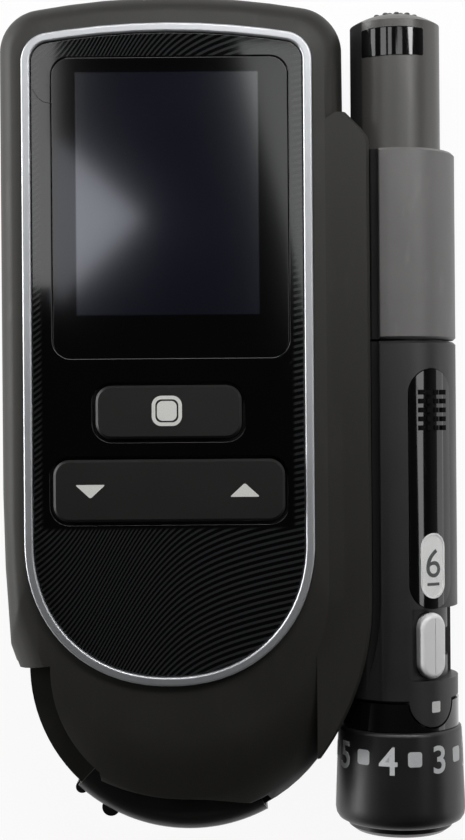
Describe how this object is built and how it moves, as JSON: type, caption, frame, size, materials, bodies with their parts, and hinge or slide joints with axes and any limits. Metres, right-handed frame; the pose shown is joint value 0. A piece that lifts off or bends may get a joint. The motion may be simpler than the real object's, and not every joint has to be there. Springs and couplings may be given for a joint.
{
  "type": "blood glucose meter",
  "caption": "Handheld blood glucose meter with a large display, a test key, a rocker key, a swinging tip cover and a slide-off pen lancing device.",
  "frame": {"origin": "under the middle of the overall box, on the back face that it lies on", "axes": "+Z out of the front face, +Y towards the display end, +X towards the lancing device"},
  "size_m": [0.0666, 0.1196, 0.02],
  "materials": {
    "soft_touch_dark": "soft-touch satin",
    "soft_touch_back": "satin",
    "silver_trim": "satin chrome",
    "gloss_black": "high gloss",
    "window_glass": "high gloss",
    "display": "dark, glossy",
    "board_green": "solder mask",
    "silicone_grey": "matt",
    "key_black": "matt",
    "steel": "satin",
    "cell_wrap": "gloss label",
    "case_white": "satin",
    "tape_white": "matt",
    "drive_grey": "satin",
    "sleeve_grey": "satin",
    "barrel_grey": "satin",
    "lever_white": "satin",
    "number_white": "satin",
    "clear_lens": "clear",
    "dial_black": "satin gloss",
    "nose_grey": "satin"
  },
  "bodies": {
    "meter": {"front_housing": "soft_touch_dark", "rear_housing": "soft_touch_back", "trim_ring": "silver_trim", "faceplate": "gloss_black", "display_window": "window_glass", "display_panel": "display", "circuit_board": "board_green", "key_mat": "silicone_grey", "cassette_cover_pin": "steel", "battery_upper": "cell_wrap", "battery_lower": "cell_wrap", "battery_contacts": "steel", "usb_port": "steel", "housing_screws": "steel", "cassette_case": "case_white", "drive_unit": "drive_grey", "test_tape": "tape_white", "tape_tip": "case_white"},
    "test_key": {"test_key": "key_black"},
    "rocker_key": {"rocker_key": "key_black"},
    "slide_catch": {"slide_catch": "soft_touch_dark"},
    "cassette_cover": {"cassette_cover": "soft_touch_back"},
    "battery_door": {"battery_door": "soft_touch_back"},
    "supply_reel": {"supply_reel": "case_white"},
    "take_up_reel": {"take_up_reel": "case_white", "drive_spindle": "steel"},
    "tip_cover": {"tip_cover": "dial_black"},
    "lancing_device": {"lancer_sleeve": "sleeve_grey", "lancer_barrel": "barrel_grey", "grip_insert": "gloss_black", "number_window": "clear_lens", "drive_spring": "steel"},
    "plunger": {"plunger_button": "dial_black", "button_band": "gloss_black", "plunger_rod": "steel"},
    "advance_lever": {"advance_lever": "lever_white"},
    "drum": {"number_wheel": "number_white", "drum_shaft": "case_white", "lancet_drum": "case_white", "lancet_needles": "steel"},
    "cap": {"cap_collar": "dial_black", "cap_nose": "nose_grey"},
    "depth_dial": {"depth_dial": "dial_black"}
  },
  "joints": [
    {"name": "test_key_press", "type": "slide", "parent": "meter", "child": "test_key", "axis": [0, 0, -1], "range_m": [0, 0.0006], "stiffness_N_per_m": 900},
    {"name": "rocker_key_tilt", "type": "hinge", "parent": "meter", "child": "rocker_key", "pos_m": [-0.00885, -0.0104, 0.01565], "axis": [0, 1, 0], "range_deg": [-2.5, 2.5], "stiffness_Nm_per_rad": 0.2},
    {"name": "slide_catch_slide", "type": "slide", "parent": "meter", "child": "slide_catch", "axis": [0, -1, 0], "range_m": [0, 0.0025], "stiffness_N_per_m": 300},
    {"name": "cassette_cover_hinge", "type": "hinge", "parent": "meter", "child": "cassette_cover", "pos_m": [0.0124, -0.002, 0.0012], "axis": [0, -1, 0], "range_deg": [0, 95]},
    {"name": "battery_door_hinge", "type": "hinge", "parent": "meter", "child": "battery_door", "pos_m": [-0.00845, 0.0513, 0.0008], "axis": [1, 0, 0], "range_deg": [0, 95]},
    {"name": "take_up_reel_spin", "type": "hinge", "parent": "meter", "child": "take_up_reel", "pos_m": [-0.00845, 0.007, 0.0066], "axis": [0, 0, 1], "continuous": true},
    {"name": "supply_reel_spin", "type": "hinge", "parent": "meter", "child": "supply_reel", "pos_m": [-0.00845, -0.01802, 0.0066], "axis": [0, 0, 1], "continuous": true},
    {"name": "tip_cover_swing", "type": "hinge", "parent": "meter", "child": "tip_cover", "pos_m": [-0.00645, -0.0356, 0.0075], "axis": [0, 0, -1], "range_deg": [0, 44]},
    {"name": "lancing_device_slide", "type": "slide", "parent": "meter", "child": "lancing_device", "axis": [0, -1, 0], "range_m": [0, 0.115]},
    {"name": "plunger_press", "type": "slide", "parent": "lancing_device", "child": "plunger", "axis": [0, -1, 0], "range_m": [0, 0.006], "stiffness_N_per_m": 700, "deforming": ["drive_spring"]},
    {"name": "advance_lever_turn", "type": "hinge", "parent": "lancing_device", "child": "advance_lever", "pos_m": [0.02395, -0.0327, 0.0095], "axis": [0, 1, 0], "range_deg": [0, 60], "stiffness_Nm_per_rad": 0.02},
    {"name": "drum_index", "type": "hinge", "parent": "lancing_device", "child": "drum", "pos_m": [0.02395, -0.04, 0.0095], "axis": [0, 1, 0], "range_deg": [0, 60]},
    {"name": "cap_pull", "type": "slide", "parent": "lancing_device", "child": "cap", "axis": [0, -1, 0], "range_m": [0, 0.025]},
    {"name": "depth_dial_turn", "type": "hinge", "parent": "cap", "child": "depth_dial", "pos_m": [0.02395, -0.051, 0.0095], "axis": [0, 1, 0], "range_deg": [-122.5, 122.5]}
  ],
  "couplings": [
    {"joint": "supply_reel_spin", "follows": "take_up_reel_spin", "ratio": 1},
    {"joint": "drum_index", "follows": "advance_lever_turn", "ratio": 1}
  ]
}
